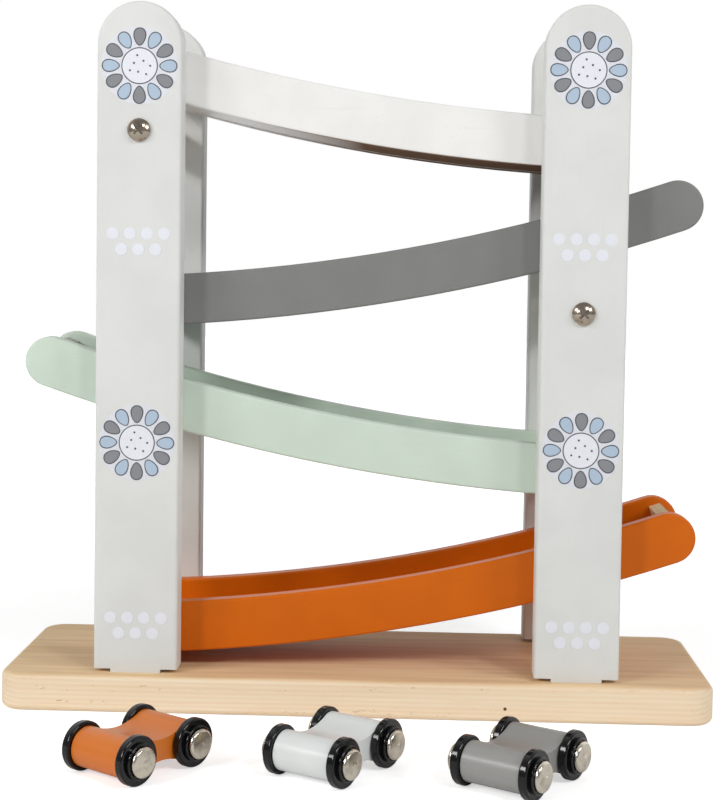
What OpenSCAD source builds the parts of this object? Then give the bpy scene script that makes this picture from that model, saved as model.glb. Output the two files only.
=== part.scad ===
// Click clack track: four curved ramps between two pairs of posts on a plank,
// and three small cars that roll down them, turn over at each end and roll back.
// Origin: centre of the base's underside. +Z up, +X right, -Y towards the cars.

/* [Base] */
// Length of the base plank
base_w = 285; // [270:1:320]
// Depth of the base plank
base_d = 90; // [84:1:120]
// Thickness of the base plank
base_t = 15; // [12:0.5:20]
// Radius of the plank's corners seen from above
base_corner_r = 10; // [6:1:20]
// Rounding along the plank's edges
base_edge_r = 2.5; // [1:0.5:4]

/* [Posts] */
// Width of a post
post_w = 33.6; // [30:0.2:38]
// Thickness of a post
post_t = 12; // [10:0.5:14]
// Height of a post above the base
post_h = 267; // [262:1:300]
// Distance between the centres of the left and right posts
post_span = 176; // [170:1:184]
// Rounding along a post's edges
post_edge_r = 1.2; // [0.6:0.2:2]
// Width of the tenon under a post
tenon_w = 20; // [14:1:24]
// Depth that the tenon goes into the base
tenon_l = 10; // [6:0.5:11]
// Height that a post's shoulders stand above the base
shoulder_gap = 1.4; // [0.4:0.2:2]
// Gap round a tenon in its mortise
mortise_gap = 0.1; // [0.05:0.05:0.3]

/* [Ramps] */
// Free width of the channel between a ramp's rails
channel_w = 40.4; // [39:0.2:48]
// Height of a rail
rail_h = 20.4; // [18:0.2:24]
// Thickness of a rail
rail_t = 6.8; // [5:0.2:9]
// Rounding along a rail's edges
rail_edge_r = 1; // [0.5:0.25:2.5]
// Step from a rail's faces down to its sanded round ends
end_step = 0.02; // [0.01:0.01:0.1]
// Radius of the rails' curved underside
ramp_r = 765; // [700:5:900]
// Sideways distance from the middle to the centre of a ramp's curve
arc_offset = 121.5; // [110:0.5:135]
// Height of the orange ramp's curve above the base, at its lowest point
orange_ramp_h = 4.3; // [4:0.1:6]
// Height of the green ramp's curve above the base, at its lowest point
green_ramp_h = 71.6; // [70:0.1:73]
// Height of the grey ramp's curve above the base, at its lowest point
grey_ramp_h = 137.8; // [136:0.1:139]
// Height of the white ramp's curve above the base, at its lowest point
white_ramp_h = 203.1; // [202:0.1:205]
// Distance from the middle to the tip of a ramp's free end
free_reach = 136; // [130:1:142]
// Distance from the middle to the tip of a ramp's end between the posts
post_reach = 98; // [92:1:104]
// Thickness of a ramp's floor
floor_t = 4; // [3:0.5:6]
// Height of the floor's underside above the rails' underside
floor_lift = 0.5; // [0:0.25:1.5]
// Length that a floor runs on past the middle of the rails' round end
floor_past = 3; // [3:0.5:4]
// Width of an end stop along the ramp
stop_w = 5; // [4:0.5:6]
// Height of an end stop above the floor
stop_h = 12; // [8:0.5:14]
// Distance from the middle of the rails' round end out to the middle of the end stop
stop_past = 2.5; // [0:0.5:4]

/* [Braces and screws] */
// Diameter of the round brace that joins a front post to its back post
brace_d = 14; // [10:0.5:18]
// Distance from the white ramp's underside down to the left brace's centre
left_brace_drop = 16; // [14:0.2:22]
// Distance from the grey ramp's underside down to the right brace's centre
right_brace_drop = 20.6; // [14:0.2:24]
// Diameter of a screw's head
screw_head_d = 9.2; // [7:0.2:11]
// Height of a screw's domed head
screw_head_h = 3; // [2:0.2:4]
// Height of the straight rim under the dome
screw_rim_h = 0.9; // [0.5:0.1:1.2]
// Diameter of a screw's shank
screw_d = 4; // [3:0.5:5]
// Length of a screw's shank
screw_l = 30; // [24:1:34]
// Gap round a screw in its post
screw_gap = 0.25; // [0.1:0.05:0.5]
// Length of the cross recess in a screw's head
cross_l = 4.8; // [3:0.2:5.4]
// Width of the cross recess
cross_w = 0.9; // [0.6:0.1:1.2]
// Depth of the cross recess
cross_deep = 1.6; // [1:0.1:2]

/* [Cars] */
// Distance between a car's axles
wheelbase = 28; // [26:0.5:34]
// Diameter of a car body's round ends
body_d = 14.4; // [12:0.2:15]
// Width of a car's body
body_w = 23; // [20:0.2:24]
// Thickness of the body's waist
waist_h = 7.6; // [6:0.2:9]
// Depth that the waist's curve cuts into the body's round ends
waist_step = 0.02; // [0.01:0.01:0.1]
// Diameter of a wheel's tread
wheel_d = 17.5; // [16.5:0.1:18.5]
// Width of a wheel's tread
tread_w = 3.2; // [2.6:0.1:3.6]
// Rounding of the tread's edges
tread_edge_r = 0.7; // [0.4:0.1:1]
// Diameter of the hub ring on a wheel's outer side
hub_d = 12.8; // [12.2:0.2:13.6]
// Width of the hub ring on a wheel's outer side
hub_w = 1.4; // [1:0.1:1.8]
// Rounding of the hub ring's outer edge
hub_edge_r = 0.5; // [0.2:0.1:0.6]
// Depth of the recess that the cap lies in
cap_recess = 0.8; // [0.5:0.1:1.2]
// Diameter of an axle cap
cap_d = 10.7; // [8:0.1:11]
// Thickness of an axle cap at its rim
cap_rim_h = 2.2; // [2:0.1:2.6]
// Rounding of the cap's rim
cap_edge_r = 1; // [0.4:0.1:1]
// Height of the shallow dome on the cap's face
cap_dome_h = 0.2; // [0.1:0.05:0.4]
// Diameter of an axle
axle_d = 3; // [2.5:0.1:4]
// Running gap round an axle in its wheel
axle_gap = 0.08; // [0.03:0.01:0.1]
// Gap round an axle in the body and in its caps, where it is held
held_gap = 0.02; // [0.01:0.01:0.05]
// Gap from a wheel to the body and from a wheel to its cap
side_gap = 0.3; // [0.2:0.05:0.5]
// Depth that an axle goes into its cap
cap_socket = 1.4; // [0.8:0.1:1.6]
// Distance from the base's front edge to the orange car's centre
orange_car_out = 66.9; // [60:0.1:90]
// Distance from the base's front edge to the white car's centre
white_car_out = 63.8; // [60:0.1:90]
// Distance from the base's front edge to the grey car's centre
grey_car_out = 71.5; // [60:0.1:90]
// Sideways place of the orange car
orange_car_x = -73.9; // [-90:0.1:-70]
// Sideways place of the white car
white_car_x = -4.4; // [-10:0.1:5]
// Sideways place of the grey car
grey_car_x = 61; // [58:0.1:90]
// Angle from +X to the way that the orange car faces
orange_car_angle = 234; // [225:1:245]
// Angle from +X to the way that the white car faces
white_car_angle = 238.5; // [225:0.5:245]
// Angle from +X to the way that the grey car faces
grey_car_angle = 236.5; // [225:0.5:245]

/* [Hidden] */

// Overrun of a cutting tool past the face that it cuts
over = 1;
$fn = 96;
// Facets in a full turn of a ramp's long curve
ramp_fn = 1440;
// Facets in a full turn of the shallow curves on the cars
shallow_fn = 360;

wood_colour = "burlywood";
post_colour = "gainsboro";
RAMP_NAMES = ["orange", "green", "grey", "white"];
RAMP_COLOURS = ["chocolate", "#c3d7c8", "dimgray", "whitesmoke"];
CAR_NAMES = ["orange", "white", "grey"];
CAR_COLOURS = ["chocolate", "whitesmoke", "dimgray"];

// Depth of the space between a front post and its back post, which the ramps fill
post_gap = channel_w + 2 * rail_t;
post_crown_r = post_w / 2;
mid_r = ramp_r - rail_h / 2;
screw_hole_r = screw_d / 2 + screw_gap;
pilot_r = screw_d / 2 + held_gap;

// Half width of a car from its middle to the outside of each part
wheel_in = body_w / 2 + side_gap;
tread_out = wheel_in + tread_w;
hub_out = tread_out + hub_w;
cap_in = hub_out - cap_recess + side_gap;
axle_half = cap_in + cap_socket;
axle_r = axle_d / 2;
wheel_r = wheel_d / 2;

RAMP_H = [orange_ramp_h, green_ramp_h, grey_ramp_h, white_ramp_h];
CAR_X = [orange_car_x, white_car_x, grey_car_x];
CAR_OUT = [orange_car_out, white_car_out, grey_car_out];
CAR_ANGLE = [orange_car_angle, white_car_angle, grey_car_angle];

// Ramp k counts from the bottom. Its free end points to the right when k is even.
function ramp_side(k) = k % 2 == 0 ? 1 : -1;
function arc_centre_z(k) = base_t + RAMP_H[k] + ramp_r;
function top_ramp(k) = k == len(RAMP_NAMES) - 1;
// Reach of the ramp's upper end: only the top ramp ends between the posts
function upper_reach(k) = top_ramp(k) ? post_reach : free_reach;
// Angles of the middles of the rails' round ends, from straight down
function upper_angle(k) = asin((arc_offset + upper_reach(k) - rail_h / 2) / mid_r);
function lower_angle() = asin((arc_offset - post_reach + rail_h / 2) / mid_r);
// Height of ramp k's underside at a distance from the middle towards its upper end
function ramp_under_z(k, x) = arc_centre_z(k) - sqrt(ramp_r * ramp_r - (arc_offset + x) * (arc_offset + x));

left_brace_z = ramp_under_z(3, post_span / 2) - left_brace_drop;
right_brace_z = ramp_under_z(2, post_span / 2) - right_brace_drop;

// Flat outline of a rectangle with round corners, from the origin to [a, b]
module round_rect(a, b, r) {
    translate([r, 0]) square([a - 2 * r, b]);
    translate([0, r]) square([a, b - 2 * r]);
    for (x = [r, a - r], y = [r, b - r]) translate([x, y]) circle(r);
}

// Half of such a rectangle: square at x = 0 and round at its far corners
module half_round_rect(a, b, r) {
    square([a - r, b]);
    translate([0, r]) square([a, b - 2 * r]);
    for (y = [r, b - r]) translate([a - r, y]) circle(r);
}

module base() {
    run_x = base_w - 2 * base_corner_r;
    run_y = base_d - 2 * base_corner_r;
    color(wood_colour)
    difference() {
        union() {
            translate([-run_x / 2, 0, 0]) rotate([90, 0, 90])
                linear_extrude(run_x)
                translate([-base_d / 2, 0]) round_rect(base_d, base_t, base_edge_r);
            translate([0, run_y / 2, 0]) rotate([90, 0, 0])
                linear_extrude(run_y)
                translate([-base_w / 2, 0]) round_rect(base_w, base_t, base_edge_r);
            for (x = [-run_x / 2, run_x / 2], y = [-run_y / 2, run_y / 2])
                translate([x, y, 0])
                rotate_extrude() half_round_rect(base_corner_r, base_t, base_edge_r);
        }
        for (sx = [-1, 1], sy = [-1, 1])
            translate([sx * post_span / 2, sy * (post_gap + post_t) / 2, base_t]) mortise();
    }
}

module mortise() {
    w = tenon_w + 2 * mortise_gap;
    t = post_t + 2 * mortise_gap;
    translate([-w / 2, -t / 2, -tenon_l]) cube([w, t, tenon_l + over]);
}

// A post with its outer face towards -Y. hole_z is the height of its screw hole.
module post_shape(hole_z) {
    shoulder_z = base_t + shoulder_gap;
    crown_z = base_t + post_h - post_crown_r;
    difference() {
        union() {
            translate([-post_w / 2, 0, shoulder_z])
                linear_extrude(crown_z - shoulder_z) round_rect(post_w, post_t, post_edge_r);
            translate([0, post_t, crown_z]) rotate([90, 0, 0])
                rotate_extrude(angle = 180) half_round_rect(post_crown_r, post_t, post_edge_r);
            translate([-tenon_w / 2, 0, base_t - tenon_l])
                cube([tenon_w, post_t, tenon_l + shoulder_gap + over]);
        }
        translate([0, -over, hole_z]) rotate([-90, 0, 0])
            cylinder(h = post_t + 2 * over, r = screw_hole_r);
    }
}

module front_post(side, hole_z) {
    color(post_colour)
    translate([side * post_span / 2, -post_gap / 2 - post_t, 0]) post_shape(hole_z);
}

module back_post(side, hole_z) {
    color(post_colour)
    translate([side * post_span / 2, post_gap / 2 + post_t, 0])
        mirror([0, 1, 0]) post_shape(hole_z);
}

// Round brace between a front post and its back post, with a pilot hole in each end
module brace(side, z) {
    pilot_l = screw_l - post_t + over;
    color(wood_colour)
    translate([side * post_span / 2, -post_gap / 2, z]) rotate([-90, 0, 0])
    difference() {
        cylinder(h = post_gap, r = brace_d / 2);
        translate([0, 0, -over]) cylinder(h = pilot_l + over, r = pilot_r);
        translate([0, 0, post_gap - pilot_l]) cylinder(h = pilot_l + over, r = pilot_r);
    }
}

// Cross-head screw that points along +Z, with its head's underside at z = 0
module screw() {
    dome_h = screw_head_h - screw_rim_h;
    head_r = screw_head_d / 2;
    dome_r = (head_r * head_r + dome_h * dome_h) / (2 * dome_h);
    difference() {
        union() {
            translate([0, 0, -screw_rim_h]) cylinder(h = screw_rim_h, r = head_r);
            rotate_extrude() intersection() {
                translate([0, dome_r - screw_head_h]) circle(dome_r);
                translate([0, -screw_head_h]) square([head_r, dome_h]);
            }
            cylinder(h = screw_l, r = screw_d / 2);
        }
        for (turn = [45, 135]) rotate([0, 0, turn])
            translate([-cross_l / 2, -cross_w / 2, -screw_head_h - over])
            cube([cross_l, cross_w, cross_deep + over]);
    }
}

module front_screws() {
    color("silver") {
        translate([-post_span / 2, -post_gap / 2 - post_t, left_brace_z]) rotate([-90, 0, 0]) screw();
        translate([post_span / 2, -post_gap / 2 - post_t, right_brace_z]) rotate([-90, 0, 0]) screw();
    }
}

module back_screws() {
    mirror([0, 1, 0]) front_screws();
}

// Places children in the ramp's polar plane: x is the distance from the curve's
// centre, the turn is counted from straight down and z runs towards the front.
module on_ramp(k, turn) {
    mirror([ramp_side(k) > 0 ? 0 : 1, 0, 0])
    translate([-arc_offset, 0, arc_centre_z(k)])
    rotate([90, 0, 0]) rotate([0, 0, turn - 90]) children();
}

// A rail of the ramp: a curved bar with full round ends, from depth z0 to z0 + rail_t
module rail_shape(k, z0) {
    low = lower_angle();
    high = upper_angle(k);
    on_ramp(k, low)
        rotate_extrude(angle = high - low, $fn = ramp_fn)
        translate([ramp_r - rail_h, z0]) round_rect(rail_h, rail_t, rail_edge_r);
    for (turn = [low, high]) on_ramp(k, turn) translate([mid_r, 0, z0 + end_step])
        rotate_extrude()
        half_round_rect(rail_h / 2 - end_step, rail_t - 2 * end_step, rail_edge_r);
}

module ramp_front_rail(k) {
    color(RAMP_COLOURS[k]) rail_shape(k, channel_w / 2);
}

module ramp_back_rail(k) {
    color(RAMP_COLOURS[k]) rail_shape(k, -channel_w / 2 - rail_t);
}

module ramp_floor(k) {
    past = asin(floor_past / mid_r);
    low = lower_angle() - past;
    high = upper_angle(k) + past;
    floor_r = ramp_r - floor_lift - floor_t;
    color(RAMP_COLOURS[k])
    on_ramp(k, low)
        rotate_extrude(angle = high - low, $fn = ramp_fn)
        translate([floor_r, -channel_w / 2]) square([floor_t, channel_w]);
}

// Small bar across the channel that keeps a car from rolling off the upper end
module ramp_end_stop(k) {
    floor_top_r = ramp_r - floor_lift - floor_t;
    half_turn = asin(stop_w / 2 / floor_top_r);
    middle = upper_angle(k) + asin(stop_past / floor_top_r);
    color(wood_colour)
    on_ramp(k, middle - half_turn)
        rotate_extrude(angle = 2 * half_turn, $fn = ramp_fn)
        translate([floor_top_r - stop_h, -channel_w / 2]) square([stop_h, channel_w]);
}

// Places children at the middle of car c, with +X the way that it faces
module on_car(c) {
    translate([CAR_X[c], -base_d / 2 - CAR_OUT[c], wheel_r]) rotate([0, 0, CAR_ANGLE[c]]) children();
}

// Solid body: two round ends with a waist between them that blends into both
module car_body(c) {
    end_r = body_d / 2;
    waist = waist_h / 2;
    half = wheelbase / 2;
    blend_r = end_r - waist_step;
    hollow_r = (half * half + waist * waist - blend_r * blend_r) / (2 * (blend_r - waist));
    hollow_z = hollow_r + waist;
    blend_z = blend_r * hollow_z / (hollow_r + blend_r);
    color(CAR_COLOURS[c])
    on_car(c) translate([0, body_w / 2, 0]) rotate([90, 0, 0])
    linear_extrude(body_w)
    difference() {
        union() {
            for (x = [-half, half]) translate([x, 0]) circle(end_r);
            translate([-half, -blend_z]) square([wheelbase, 2 * blend_z]);
        }
        for (z = [-hollow_z, hollow_z]) translate([0, z]) circle(hollow_r, $fn = shallow_fn);
        for (x = [-half, half]) translate([x, 0]) circle(axle_r + held_gap);
    }
}

module car_axle(c, end) {
    color("silver")
    on_car(c) translate([end * wheelbase / 2, axle_half, 0]) rotate([90, 0, 0])
        cylinder(h = 2 * axle_half, r = axle_r);
}

// Wheel on its axis, with the axis along +Z and z counted from the car's middle:
// a tread with a narrower hub ring on its outer side and a recess for the cap
module wheel_shape() {
    rotate_extrude()
    difference() {
        union() {
            translate([0, wheel_in]) half_round_rect(wheel_r, tread_w, tread_edge_r);
            translate([0, tread_out - hub_edge_r])
                half_round_rect(hub_d / 2, hub_w + hub_edge_r, hub_edge_r);
        }
        translate([0, wheel_in - over])
            square([axle_r + axle_gap, hub_out - wheel_in + 2 * over]);
        translate([0, hub_out - cap_recess]) square([cap_d / 2 + side_gap, cap_recess + over]);
    }
}

module car_wheel(c, end, side) {
    color("#1c1c1e")
    on_car(c) translate([end * wheelbase / 2, 0, 0]) rotate([-side * 90, 0, 0]) wheel_shape();
}

// Cap that is pressed on an axle's end, with its axis along +Z
module cap_shape() {
    face_r = cap_d / 2 - cap_edge_r;
    cap_h = cap_rim_h + cap_dome_h;
    dome_r = (face_r * face_r + cap_dome_h * cap_dome_h) / (2 * cap_dome_h);
    difference() {
        rotate_extrude() {
            half_round_rect(cap_d / 2, cap_rim_h, cap_edge_r);
            intersection() {
                translate([0, cap_h - dome_r]) circle(dome_r, $fn = shallow_fn);
                square([face_r, cap_h]);
            }
        }
        translate([0, 0, -over]) cylinder(h = cap_socket + over, r = axle_r + held_gap);
    }
}

module car_caps(c) {
    color("silver")
    on_car(c)
        for (end = [-1, 1], side = [-1, 1])
        translate([end * wheelbase / 2, side * cap_in, 0]) rotate([-side * 90, 0, 0]) cap_shape();
}

base();
front_post(-1, left_brace_z);  // front_left_post
front_post(1, right_brace_z);  // front_right_post
back_post(-1, left_brace_z);  // back_left_post
back_post(1, right_brace_z);  // back_right_post
brace(-1, left_brace_z);  // left_brace
brace(1, right_brace_z);  // right_brace
front_screws();
back_screws();

for (k = [0 : len(RAMP_NAMES) - 1]) {
    ramp_front_rail(k);
    ramp_back_rail(k);
    ramp_floor(k);
    ramp_end_stop(k);
}

for (c = [0 : len(CAR_NAMES) - 1]) {
    car_body(c);
    car_axle(c, 1);
    car_axle(c, -1);
    car_caps(c);
    car_wheel(c, 1, 1);
    car_wheel(c, 1, -1);
    car_wheel(c, -1, 1);
    car_wheel(c, -1, -1);
}
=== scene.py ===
"""Looks of the click clack track: paint, wood, metal, plastic and prints round the CAD frame."""
import math

import bpy
from mathutils import Matrix, Vector


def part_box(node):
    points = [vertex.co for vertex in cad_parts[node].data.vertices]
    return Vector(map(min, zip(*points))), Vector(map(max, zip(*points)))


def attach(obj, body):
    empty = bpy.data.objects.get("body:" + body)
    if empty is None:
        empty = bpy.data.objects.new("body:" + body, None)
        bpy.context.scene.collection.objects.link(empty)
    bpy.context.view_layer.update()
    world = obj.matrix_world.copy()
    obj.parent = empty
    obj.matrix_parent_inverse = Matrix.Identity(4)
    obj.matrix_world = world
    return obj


MM = 0.001

# Camera: its place, the way it looks and its lens, all fitted to the photograph
CAMERA_AT = Vector((22.16, -668.71, 181.01)) * MM
CAMERA_YAW = math.radians(-2.115)
CAMERA_PITCH = math.radians(-2.702)
CAMERA_ROLL = math.radians(-0.808)
IMAGE_H = 800
FOCAL_PX = 1598.36
AXIS_ROW_PX = 336.26
SENSOR_MM = 36

RAMPS = ("orange", "green", "grey", "white")
CARS = ("orange", "white", "grey")
ENDS = ("front", "rear")
SIDES = ("left", "right")

# Colours, as 0 to 255 values of a screen
WOOD_PALE = (250, 232, 205)
WOOD_TAN = (244, 217, 182)
WOOD_LINE = (230, 196, 156)
WOOD_SPECK = (176, 138, 106)
# Upper face of the base: more golden than the edges, and darker as painted shade
TOP_FACE_TONE_IN_SHADE = (242, 209, 162)
TOP_FACE_LINE_IN_SHADE = (222, 183, 134)
# Raw wood under the white ramp, darker than the wood's own colour: painted shade under the ramp
BARE_UNDERSIDE_IN_SHADE = (148, 118, 98)
KNOT = (92, 52, 30)
POST_PAINT = (227, 228, 225)
PAINTS = {
    "orange": (215, 104, 6),
    "green": (211, 226, 211),
    "grey": (133, 133, 131),
    "white": (243, 242, 239),
}
CAR_PAINTS = {
    "orange": (222, 120, 34),
    "white": (234, 237, 235),
    "grey": (156, 155, 152),
}
STOP_PAINT = (178, 176, 172)
BLACK = (10, 10, 12)
NICKEL = (222, 214, 198)
SCREW_NICKEL = (184, 172, 156)
STEEL = (178, 178, 180)
INK_WHITE = (240, 242, 249)
INK_BLUE = (184, 203, 222)
INK_GREY = (143, 145, 149)
INK_LINE = (84, 88, 97)


def linear(colour):
    """Scene value of a screen colour, with alpha."""
    def channel(c):
        c /= 255
        return c / 12.92 if c <= 0.04045 else ((c + 0.055) / 1.055) ** 2.4
    return tuple(channel(c) for c in colour) + (1.0,)


def shade(colour, share):
    """The same colour, darker (share under 1) or lighter (share over 1)."""
    return tuple(min(255, c * share) for c in colour)


class Nodes:
    """A node tree. Each call adds one node and gives back its output socket."""

    def __init__(self, tree):
        self.tree = tree

    def plug(self, socket, value):
        if isinstance(value, bpy.types.NodeSocket):
            self.tree.links.new(value, socket)
        else:
            socket.default_value = value

    def node(self, kind, inputs, output=0, **settings):
        node = self.tree.nodes.new("ShaderNode" + kind)
        for key, value in settings.items():
            setattr(node, key, value)
        for socket, value in inputs.items():
            self.plug(node.inputs[socket], value)
        return node.outputs[output]

    def place(self, grain=(1, 1, 1), offset=(0, 0, 0)):
        """Point on the object in metres, stretched along the grain."""
        point = self.node("TexCoord", {}, "Object")
        moved = self.node("VectorMath", {0: point, 1: offset}, operation="ADD")
        return self.node("VectorMath", {0: moved, 1: grain}, operation="MULTIPLY")

    def noise(self, point, scale, detail=3.0, roughness=0.5, output="Fac"):
        inputs = {"Vector": point, "Scale": scale, "Detail": detail, "Roughness": roughness}
        return self.node("TexNoise", inputs, output)

    def steps(self, factor, *stops):
        """Colour ramp from (place, colour) stops."""
        socket = self.node("ValToRGB", {"Fac": factor})
        elements = socket.node.color_ramp.elements
        while len(elements) < len(stops):
            elements.new(1.0)
        for element, (place, colour) in zip(elements, stops):
            element.position = place
            element.color = colour
        return socket

    def between(self, factor, low, high):
        """Turns 0 to 1 into low to high."""
        return self.node("MapRange", {"Value": factor, "To Min": low, "To Max": high})

    def mask(self, factor, start, end):
        """0 below start and 1 above end, with a smooth step between."""
        inputs = {"Value": factor, "From Min": start, "From Max": end}
        return self.node("MapRange", inputs, interpolation_type="SMOOTHSTEP")

    def facing(self, axis, start, end):
        """0 to 1 as the surface turns to face along an axis of the object."""
        normal = self.node("TexCoord", {}, "Normal")
        return self.mask(self.node("SeparateXYZ", {"Vector": normal}, axis.upper()), start, end)

    def times(self, a, b):
        return self.node("Math", {0: a, 1: b}, operation="MULTIPLY")

    def mix(self, factor, a, b):
        """Mixes two colours."""
        return self.node("Mix", {0: factor, 6: a, 7: b}, 2, data_type="RGBA")

    def bump(self, height, distance, strength=1.0):
        return self.node("Bump", {"Height": height, "Distance": distance, "Strength": strength})

    def blend(self, factor, a, b):
        """Mixes two numbers."""
        return self.node("Mix", {0: factor, 2: a, 3: b})

    def most(self, a, b):
        return self.node("Math", {0: a, 1: b}, operation="MAXIMUM")

    def socket(self, other, name):
        """Another output of the node that a socket belongs to."""
        return other.node.outputs[name]


class Shader(Nodes):
    """A node material."""

    def __init__(self, name):
        self.material = bpy.data.materials.new(name)
        self.material.use_nodes = True
        super().__init__(self.material.node_tree)
        self.surface = self.tree.nodes["Principled BSDF"]

    def finish(self, **inputs):
        """Sets the surface's own sockets, named with _ for a space."""
        for name, value in inputs.items():
            self.plug(self.surface.inputs[name.replace("_", " ")], value)
        return self.material


GRAIN_SHARE = 0.035
AXES = {"x": 0, "y": 1, "z": 2}
# Scale of the wave texture times the distance between its rings, in metres
RING_PITCH = 0.314
RING_GAP = 1.9 * MM
# Middle of the tree's rings, beside and under the base
HEART = (0, 0.14, -0.62)
# Sideways wander of the rings
RING_WANDER = (0.005, 0.005, 0.005)
# Noise in bare wood, as patches per metre: the rings' wander, fibres, bands and short dashes
WANDER_SCALE = 22
FIBRE_SCALE = 1500
BAND_SCALE = 240
DASH_SCALE = 900
# How much the wander, bands and dashes are stretched along the grain
WANDER_SHARE = 0.1
BAND_SHARE = 0.05
DASH_SHARE = 0.3
KNOT_AT = (59.7 * MM, -45 * MM, 5.5 * MM)
KNOT_IN = 0.4 * MM
KNOT_OUT = 0.9 * MM
WOOD_SHINE = 0.16
WOOD_BUMP = 0.04 * MM
# Height of the bumps in paint, ink and metal, and of the waves in moulded plastic
FINE_BUMP = 0.02 * MM
PLASTIC_BUMP = 0.05 * MM
# Noise in paint, as patches per metre: mottling, filler, the grain below and orange peel
MOTTLE_SCALE = 42
FILLER_SCALE = 1900
GRAIN_SCALE = 850
PEEL_SCALE = 520
# Noise in moulded plastic, metal and ink
FLOW_SCALE = 130
DUST_SCALE = 1400
STAIN_SCALE = 320
MARK_SCALE = 2600
INK_SCALE = 2400
# Tones of the paint and of the others, as shares of their own colour
MOTTLE_SHARES = (0.985, 1.01)
FILLER_SHARE = 0.94
UNDER_SHARE = 0.8
DUST_SHARE = 2.0
STAIN_SHARE = 0.86
INK_SHARE = 0.955


def along(axis, share=GRAIN_SHARE):
    """Scale that stretches a pattern along one axis."""
    scale = [1, 1, 1]
    scale[AXES[axis]] = share
    return tuple(scale)


def wood_tone(s, axis, heart, gap):
    """Colour and height of sanded pine: growth rings round a heart beside the piece, fibres
    and specks. The upper face is more golden and, as painted shade, darker than the edges."""
    point = s.place(offset=tuple(-c for c in heart))
    slow = s.noise(s.place(along(axis, WANDER_SHARE)), WANDER_SCALE, 2.0, output="Color")
    warp = s.node("VectorMath", {0: slow, 1: RING_WANDER}, operation="MULTIPLY")
    warped = s.node("VectorMath", {0: point, 1: warp}, operation="ADD")
    rings = s.node(
        "TexWave",
        {"Vector": warped, "Scale": RING_PITCH / gap, "Distortion": 0.4, "Detail": 2.0},
        "Fac", wave_type="RINGS", rings_direction=axis.upper(), wave_profile="SIN")
    fibres = s.noise(s.place(along(axis)), FIBRE_SCALE, 4.0, 0.6)
    bands = s.noise(s.place(along(axis, BAND_SHARE)), BAND_SCALE, 3.0, 0.6)
    dashes = s.noise(s.place(along(axis, DASH_SHARE)), DASH_SCALE, 2.0, 0.7)
    ring_tone = s.steps(rings, (0.1, linear(WOOD_PALE)), (0.7, linear(WOOD_TAN)),
                        (1.0, linear(WOOD_LINE)))
    band_tone = s.steps(bands, (0.3, linear(WOOD_PALE)), (0.75, linear(WOOD_TAN)))
    tone = s.mix(0.26, band_tone, ring_tone)
    tone = s.mix(s.mask(fibres, 0.45, 0.8), tone, linear(WOOD_TAN))
    dashes = s.times(s.mask(dashes, 0.6, 0.72), s.mask(bands, 0.5, 0.64))
    tone = s.mix(s.times(dashes, 0.7), tone, linear(WOOD_SPECK))
    # Upper face: more golden, and darker as painted shade where the light grazes it
    shaded_upper = s.mix(s.mask(bands, 0.3, 0.8), linear(TOP_FACE_TONE_IN_SHADE), linear(TOP_FACE_LINE_IN_SHADE))
    tone = s.mix(s.times(s.facing("z", 0.5, 0.95), 0.8), tone, shaded_upper)
    return tone, s.mix(0.25, fibres, rings)


def bare_wood(name, axis="x", heart=HEART, gap=RING_GAP, knot=None):
    """Bare pine, with a small dark knot at a point or none."""
    s = Shader(name)
    tone, height = wood_tone(s, axis, heart, gap)
    if knot is not None:
        away = s.node("VectorMath", {0: s.place(), 1: knot}, 1, operation="DISTANCE")
        tone = s.mix(s.mask(away, KNOT_OUT, KNOT_IN), tone, linear(KNOT))
    return s.finish(
        Base_Color=tone, Roughness=s.between(height, 0.5, 0.64), Specular_IOR_Level=WOOD_SHINE,
        Normal=s.bump(height, WOOD_BUMP, 0.6))


def paint(name, colour, axis="x", gloss=0.36, shine=0.22, coat=0.0, grain_tone=0.97,
          bare_side=None):
    """Sprayed paint on wood: slow mottling, specks of the filler and grain that shows through.
    Past the places along x in bare_side the underside turns to raw wood, painted darker than its
    own colour as shade under the ramp."""
    s = Shader(name)
    point = s.place()
    slow = s.noise(point, MOTTLE_SCALE, 3.0)
    specks = s.noise(point, FILLER_SCALE, 2.0, 0.6)
    grain = s.noise(s.place(along(axis)), GRAIN_SCALE, 4.0, 0.6)
    peel = s.noise(point, PEEL_SCALE, 2.0)
    dark, light = (linear(shade(colour, share)) for share in MOTTLE_SHARES)
    tone = s.mix(s.mask(slow, 0.3, 0.7), dark, light)
    tone = s.mix(s.mask(grain, 0.55, 0.9), tone, linear(shade(colour, grain_tone)))
    tone = s.mix(s.mask(specks, 0.6, 0.8), tone, linear(shade(colour, FILLER_SHARE)))
    if bare_side is not None:
        # Raw wood on the underside, painted darker as shade under the ramp
        dark = linear(shade(BARE_UNDERSIDE_IN_SHADE, UNDER_SHARE))
        bare = s.mix(s.mask(grain, 0.35, 0.8), linear(BARE_UNDERSIDE_IN_SHADE), dark)
        spread = s.node("SeparateXYZ", {"Vector": point}, "X")
        under = s.times(s.facing("z", -0.5, -0.8), s.mask(spread, *bare_side))
        tone = s.mix(under, tone, bare)
        shine = s.between(under, shine, 0.0)
    height = s.mix(0.5, grain, peel)
    return s.finish(
        Base_Color=tone, Roughness=s.between(slow, gloss - 0.04, gloss + 0.08),
        Specular_IOR_Level=shine, Coat_Weight=coat, Coat_Roughness=0.25,
        Normal=s.bump(height, FINE_BUMP, 0.5))


def plastic(name, colour):
    """Glossy moulded plastic with soft flow marks and a little dust."""
    s = Shader(name)
    point = s.place()
    flow = s.noise(point, FLOW_SCALE, 2.0)
    dust = s.noise(point, DUST_SCALE, 3.0, 0.7)
    tone = s.mix(s.mask(dust, 0.68, 0.84), linear(colour), linear(shade(colour, DUST_SHARE)))
    return s.finish(
        Base_Color=tone, Roughness=s.between(flow, 0.1, 0.16), Specular_IOR_Level=0.4,
        Coat_Weight=0.1, Coat_Roughness=0.06, Normal=s.bump(flow, PLASTIC_BUMP, 0.3))


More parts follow.
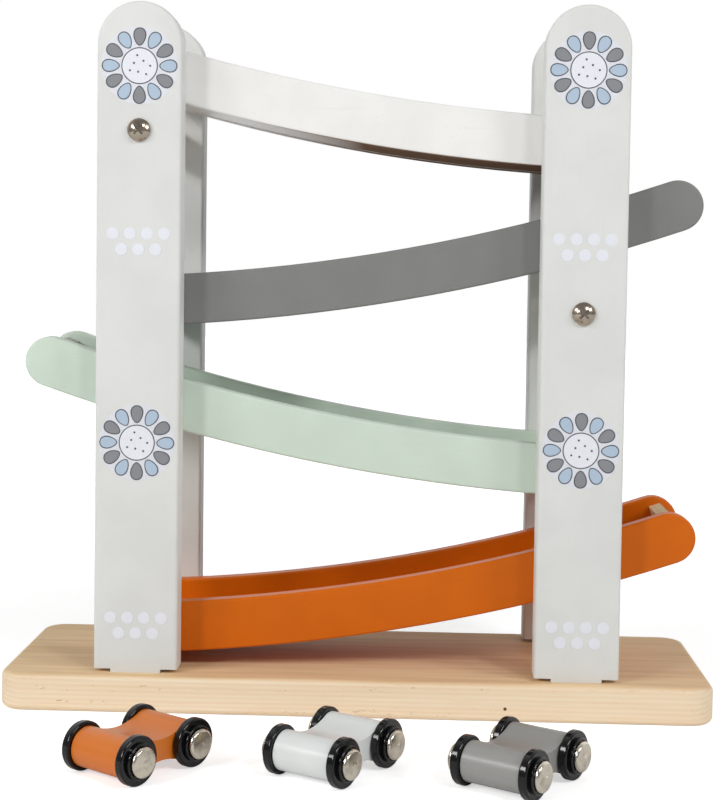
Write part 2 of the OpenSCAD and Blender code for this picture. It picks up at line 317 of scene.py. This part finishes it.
def metal(name, colour, rough=0.16):
    """Plated or drawn metal with turning marks and faint stains."""
    s = Shader(name)
    point = s.place()
    stain = s.noise(point, STAIN_SCALE, 3.0)
    marks = s.noise(point, MARK_SCALE, 2.0)
    tone = s.mix(s.mask(stain, 0.45, 0.75), linear(colour), linear(shade(colour, STAIN_SHARE)))
    return s.finish(
        Base_Color=tone, Metallic=1.0, Roughness=s.between(stain, rough, rough + 0.12),
        Normal=s.bump(marks, FINE_BUMP, 0.4))


def ink(name, colour):
    """Printed ink, a little uneven, on the paint."""
    s = Shader(name)
    dots = s.noise(s.place(), INK_SCALE, 2.0)
    tone = s.mix(s.mask(dots, 0.35, 0.75), linear(colour), linear(shade(colour, INK_SHARE)))
    return s.finish(
        Base_Color=tone, Roughness=s.between(dots, 0.38, 0.5), Specular_IOR_Level=0.4,
        Normal=s.bump(dots, FINE_BUMP, 0.5))


def dress(names, material):
    for name in names:
        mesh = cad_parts[name].data
        mesh.materials.clear()
        mesh.materials.append(material)


# Places along x between which the white ramp's underside turns from its paint to raw wood painted
# darker as shade
UNDERSIDE_FADE = (-64 * MM, 0)
# Rings of the braces and end stops, which were cut from other wood
ACROSS_HEART = (0.02, 0, -0.03)
ACROSS_GAP = 2.6 * MM


def dress_frame():
    """Gives every CAD node its finish."""
    dress(["base"], bare_wood("pine_base", knot=KNOT_AT))
    across = bare_wood("pine_across", "y", heart=ACROSS_HEART, gap=ACROSS_GAP)
    stops = [f"{ramp}_end_stop" for ramp in RAMPS if ramp != "green"]
    dress(["left_brace", "right_brace"] + stops, across)
    dress(["green_end_stop"], paint("stop_paint", STOP_PAINT, "y"))
    posts = [f"{end}_{side}_post" for end in ("front", "back") for side in SIDES]
    dress(posts, paint("post_paint", POST_PAINT, "z", gloss=0.5, shine=0.16, grain_tone=0.985))
    for ramp in RAMPS:
        bare_side = UNDERSIDE_FADE if ramp == "white" else None
        finish = paint(f"{ramp}_paint", PAINTS[ramp], bare_side=bare_side)
        dress([f"{ramp}_front_rail", f"{ramp}_back_rail", f"{ramp}_floor"], finish)
    nickel = metal("nickel", NICKEL)
    dress(["front_screws", "back_screws"], metal("screw_nickel", SCREW_NICKEL, 0.14))
    steel = metal("steel", STEEL, 0.28)
    black = plastic("black_plastic", BLACK)
    for car in CARS:
        dress([f"{car}_car_body"], paint(f"{car}_car_paint", CAR_PAINTS[car], shine=0.4, coat=0.3))
        dress([f"{car}_car_caps"], nickel)
        dress([f"{car}_car_{end}_axle" for end in ENDS], steel)
        dress([f"{car}_car_{end}_{side}_wheel" for end in ENDS for side in SIDES], black)


# Prints on the front posts
PRINT_DEPTH = 0.06 * MM
SUN_HEIGHTS = (256.5 * MM, 107.5 * MM)
DOT_HEIGHTS = (187.5 * MM, 34 * MM)
RAY_COUNT = 12
RAY_IN = 8.2 * MM
RAY_OUT = 14.6 * MM
RAY_HALF = math.radians(10.5)
FACE_R = 6.8 * MM
OUTLINE_W = 0.42 * MM
HALO_R = 15.2 * MM
HALO_SHARE = 0.965
SPECK_R = 0.42 * MM
SPECK_COUNT = 7
# Distances of the specks from the sun's middle, by turns, as shares of the face's radius
SPECK_SHARES = (0.62, 0.36)
# How much wider a ray's outer end is than its middle
RAY_LEAN = 0.25
DOT_R = 2.4 * MM
DOT_PITCH = 6.8 * MM
DOT_ROW_STEP = 6.2 * MM
DOT_ROWS = (3, 4)
# Points round a face, a ray, a dot and a speck
ROUND_STEPS = 48
RAY_STEPS = 18
DOT_STEPS = 28
SPECK_STEPS = 12


def disc(radius, centre=(0, 0), count=ROUND_STEPS):
    """Points of a circle in the print's plane."""
    turns = [2 * math.pi * i / count for i in range(count)]
    return [(centre[0] + radius * math.cos(t), centre[1] + radius * math.sin(t)) for t in turns]


def ray(turn, grow=0.0):
    """Points of one leaf-shaped ray that stands round the middle, grown by a margin."""
    middle = (RAY_IN + RAY_OUT) / 2
    half_length = (RAY_OUT - RAY_IN) / 2 + grow
    half_width = middle * math.tan(RAY_HALF) + grow
    points = []
    for i in range(RAY_STEPS):
        t = 2 * math.pi * i / RAY_STEPS
        out = middle + half_length * math.cos(t)
        aside = half_width * math.sin(t) * (1 + RAY_LEAN * math.cos(t))
        points.append((out * math.cos(turn) - aside * math.sin(turn),
                       out * math.sin(turn) + aside * math.cos(turn)))
    return points


class Print:
    """Flat shapes of one ink, joined into one mesh on the front faces of the posts."""

    def __init__(self, name, colour, layer, slot):
        self.name = name
        self.colour = colour
        self.layer = layer
        self.slot = slot
        self.vertices = []
        self.faces = []

    def add(self, outline, centre):
        """Adds one thin closed shape, from the post's face out to its layer's height."""
        face_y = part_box("front_left_post")[0].y
        start = len(self.vertices)
        count = len(outline)
        for y in (face_y, face_y - PRINT_DEPTH * self.layer):
            for x, z in outline:
                self.vertices.append((centre[0] + x, y, centre[1] + z))
        back = list(range(start, start + count))
        front = [i + count for i in back]
        self.faces.append(tuple(back[::-1]))
        self.faces.append(tuple(front))
        for i in range(count):
            j = (i + 1) % count
            self.faces.append((back[i], back[j], front[j], front[i]))

    def build(self):
        mesh = bpy.data.meshes.new(self.name)
        mesh.from_pydata(self.vertices, [], self.faces)
        mesh.validate()
        mesh.materials.append(ink(self.name, self.colour))
        piece = bpy.data.objects.new(self.name, mesh)
        bpy.context.scene.collection.objects.link(piece)
        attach(piece, "track")
        return piece


def add_sun(inks, centre):
    """A plain sun: a white face with specks and a ring of leaf-shaped rays."""
    inks["halo"].add(disc(HALO_R), centre)
    for i in range(RAY_COUNT):
        turn = 2 * math.pi * i / RAY_COUNT
        inks["lines"].add(ray(turn, OUTLINE_W), centre)
        inks["grey" if i % 2 else "blue"].add(ray(turn), centre)
    inks["lines"].add(disc(FACE_R + OUTLINE_W), centre)
    inks["white"].add(disc(FACE_R), centre)
    for i in range(SPECK_COUNT):
        turn = 2 * math.pi * i / SPECK_COUNT
        reach = FACE_R * SPECK_SHARES[i % 2]
        speck = (centre[0] + reach * math.cos(turn), centre[1] + reach * math.sin(turn))
        inks["specks"].add(disc(SPECK_R, count=SPECK_STEPS), speck)


def add_dots(inks, centre):
    """Two staggered rows of white dots, four over three."""
    for row, count in enumerate(DOT_ROWS):
        z = centre[1] + (row - 0.5) * DOT_ROW_STEP
        for i in range(count):
            x = centre[0] + (i - (count - 1) / 2) * DOT_PITCH
            inks["white"].add(disc(DOT_R, count=DOT_STEPS), (x, z))


def print_posts():
    inks = {
        "halo": Print("print_halo", shade(INK_WHITE, HALO_SHARE), 1, "white_paint"),
        "lines": Print("print_lines", INK_LINE, 2, "grey_paint"),
        "white": Print("print_white", INK_WHITE, 3, "white_paint"),
        "blue": Print("print_blue", INK_BLUE, 3, "post_paint"),
        "grey": Print("print_grey", INK_GREY, 3, "grey_paint"),
        "specks": Print("print_specks", INK_LINE, 4, "grey_paint"),
    }
    for side in SIDES:
        low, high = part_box(f"front_{side}_post")
        x = (low.x + high.x) / 2
        for z in SUN_HEIGHTS:
            add_sun(inks, (x, z))
        for z in DOT_HEIGHTS:
            add_dots(inks, (x, z))
    for one in inks.values():
        one.build()


def set_camera():
    """Camera at the photograph's place, with the photograph's lens."""
    flat = Vector((math.sin(CAMERA_YAW), math.cos(CAMERA_YAW), 0))
    forward = flat * math.cos(CAMERA_PITCH) + Vector((0, 0, math.sin(CAMERA_PITCH)))
    level = forward.cross(Vector((0, 0, 1))).normalized()
    up = level.cross(forward)
    right = level * math.cos(CAMERA_ROLL) - up * math.sin(CAMERA_ROLL)
    up = right.cross(forward)
    lens = bpy.data.cameras.new("camera")
    lens.sensor_width = SENSOR_MM
    lens.lens = FOCAL_PX * SENSOR_MM / IMAGE_H
    lens.shift_y = (AXIS_ROW_PX - IMAGE_H / 2) / IMAGE_H
    camera = bpy.data.objects.new("camera", lens)
    turn = Matrix((right, up, -forward)).transposed()
    camera.matrix_world = Matrix.Translation(CAMERA_AT) @ turn.to_4x4()
    bpy.context.scene.collection.objects.link(camera)
    bpy.context.scene.camera = camera


# Where all lamps point
AIM = Vector((0, -0.03, 0.12))
# Lamps: name, place, width, height and power
SOFTBOXES = (
    ("left_key", (-0.82, -0.973, 0.606), 0.2, 0.2, 4.1),
    ("left_fill", (-1.083, -0.655, 0.783), 0.3, 0.3, 4.1),
    ("right_box", (0.699, -1.066, 1.177), 0.22, 0.22, 4.7),
    ("right_fill", (1.083, -0.655, 0.783), 0.3, 0.3, 4.5),
)
# Light of the sky at the horizon and overhead
AMBIENT_LOW = 0.31
AMBIENT_HIGH = 0.20
# Brightness that a shiny surface sees in front of the toy, and the directions along y between
# which it rises to the white backdrop behind
ROOM_SHARE = 0.28
BACKDROP_FROM = -0.15
BACKDROP_TO = 0.45
FLOOR_HALF = 3.0
FLOOR_WHITE = (250, 250, 250)
FLOOR_ROUGH = 0.8
# Glow of the floor near the toy and far from it, and the distances between which it rises
FLOOR_GLOW = 0.55
FAR_GLOW = 1.0
FAR_FROM = 0.15
FAR_TO = 0.7
# Places along y between which shiny surfaces start to see that glow
SHINE_FROM = -0.10
SHINE_TO = 0.30


def add_light(name, place, width, height, power):
    lamp = bpy.data.lights.new(name, "AREA")
    lamp.shape = "RECTANGLE"
    lamp.size = width
    lamp.size_y = height
    lamp.energy = power
    light = bpy.data.objects.new(name, lamp)
    light.location = place
    light.rotation_euler = (AIM - Vector(place)).to_track_quat("-Z", "Y").to_euler()
    bpy.context.scene.collection.objects.link(light)


def set_world():
    """White where the camera sees it, a backdrop and a dimmer room for shiny surfaces, and a
    plain dim sky where it lights."""
    world = bpy.data.worlds.new("studio")
    bpy.context.scene.world = world
    world.use_nodes = True
    s = Nodes(world.node_tree)
    back = s.node("SeparateXYZ", {"Vector": s.node("TexCoord", {}, "Generated")}, "Y")
    room = s.between(s.mask(back, BACKDROP_FROM, BACKDROP_TO), ROOM_SHARE, 1.0)
    sky = s.between(s.mask(s.socket(back, "Z"), 0, 1), AMBIENT_LOW, AMBIENT_HIGH)
    path = s.node("LightPath", {}, "Is Camera Ray")
    shiny = s.most(s.socket(path, "Is Glossy Ray"), s.socket(path, "Is Transmission Ray"))
    strength = s.blend(shiny, sky, room)
    strength = s.blend(path, strength, 1.0)
    background = world.node_tree.nodes["Background"]
    background.inputs["Color"].default_value = (1, 1, 1, 1)
    s.plug(background.inputs["Strength"], strength)


def add_floor():
    """Plain white floor that keeps the object's shadow and melts into the backdrop."""
    mesh = bpy.data.meshes.new("floor")
    turns = ((-1, -1), (1, -1), (1, 1), (-1, 1))
    corners = [(x * FLOOR_HALF, y * FLOOR_HALF, 0) for x, y in turns]
    mesh.from_pydata(corners, [], [(0, 1, 2, 3)])
    floor = bpy.data.objects.new("floor", mesh)
    bpy.context.scene.collection.objects.link(floor)
    s = Shader("floor")
    away = s.node("VectorMath", {0: s.place()}, 1, operation="LENGTH")
    glow = s.between(s.mask(away, FAR_FROM, FAR_TO), FLOOR_GLOW, FAR_GLOW)
    path = s.node("LightPath", {}, "Is Camera Ray")
    shiny = s.most(s.socket(path, "Is Glossy Ray"), s.socket(path, "Is Transmission Ray"))
    behind = s.mask(s.node("SeparateXYZ", {"Vector": s.place()}, "Y"), SHINE_FROM, SHINE_TO)
    seen = s.most(path, s.times(shiny, behind))
    mesh.materials.append(s.finish(
        Base_Color=linear(FLOOR_WHITE), Roughness=FLOOR_ROUGH, Specular_IOR_Level=0.0,
        Emission_Color=(1, 1, 1, 1), Emission_Strength=s.times(glow, seen)))


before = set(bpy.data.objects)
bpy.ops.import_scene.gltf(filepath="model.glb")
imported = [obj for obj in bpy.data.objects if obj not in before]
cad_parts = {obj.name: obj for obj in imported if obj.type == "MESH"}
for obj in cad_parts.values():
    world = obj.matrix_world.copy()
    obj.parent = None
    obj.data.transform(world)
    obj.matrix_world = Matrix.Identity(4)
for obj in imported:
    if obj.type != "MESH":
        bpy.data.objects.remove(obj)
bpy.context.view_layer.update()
set_camera()
set_world()
add_floor()
for softbox in SOFTBOXES:
    add_light(*softbox)
dress_frame()
print_posts()
bpy.context.scene.view_settings.view_transform = "Standard"
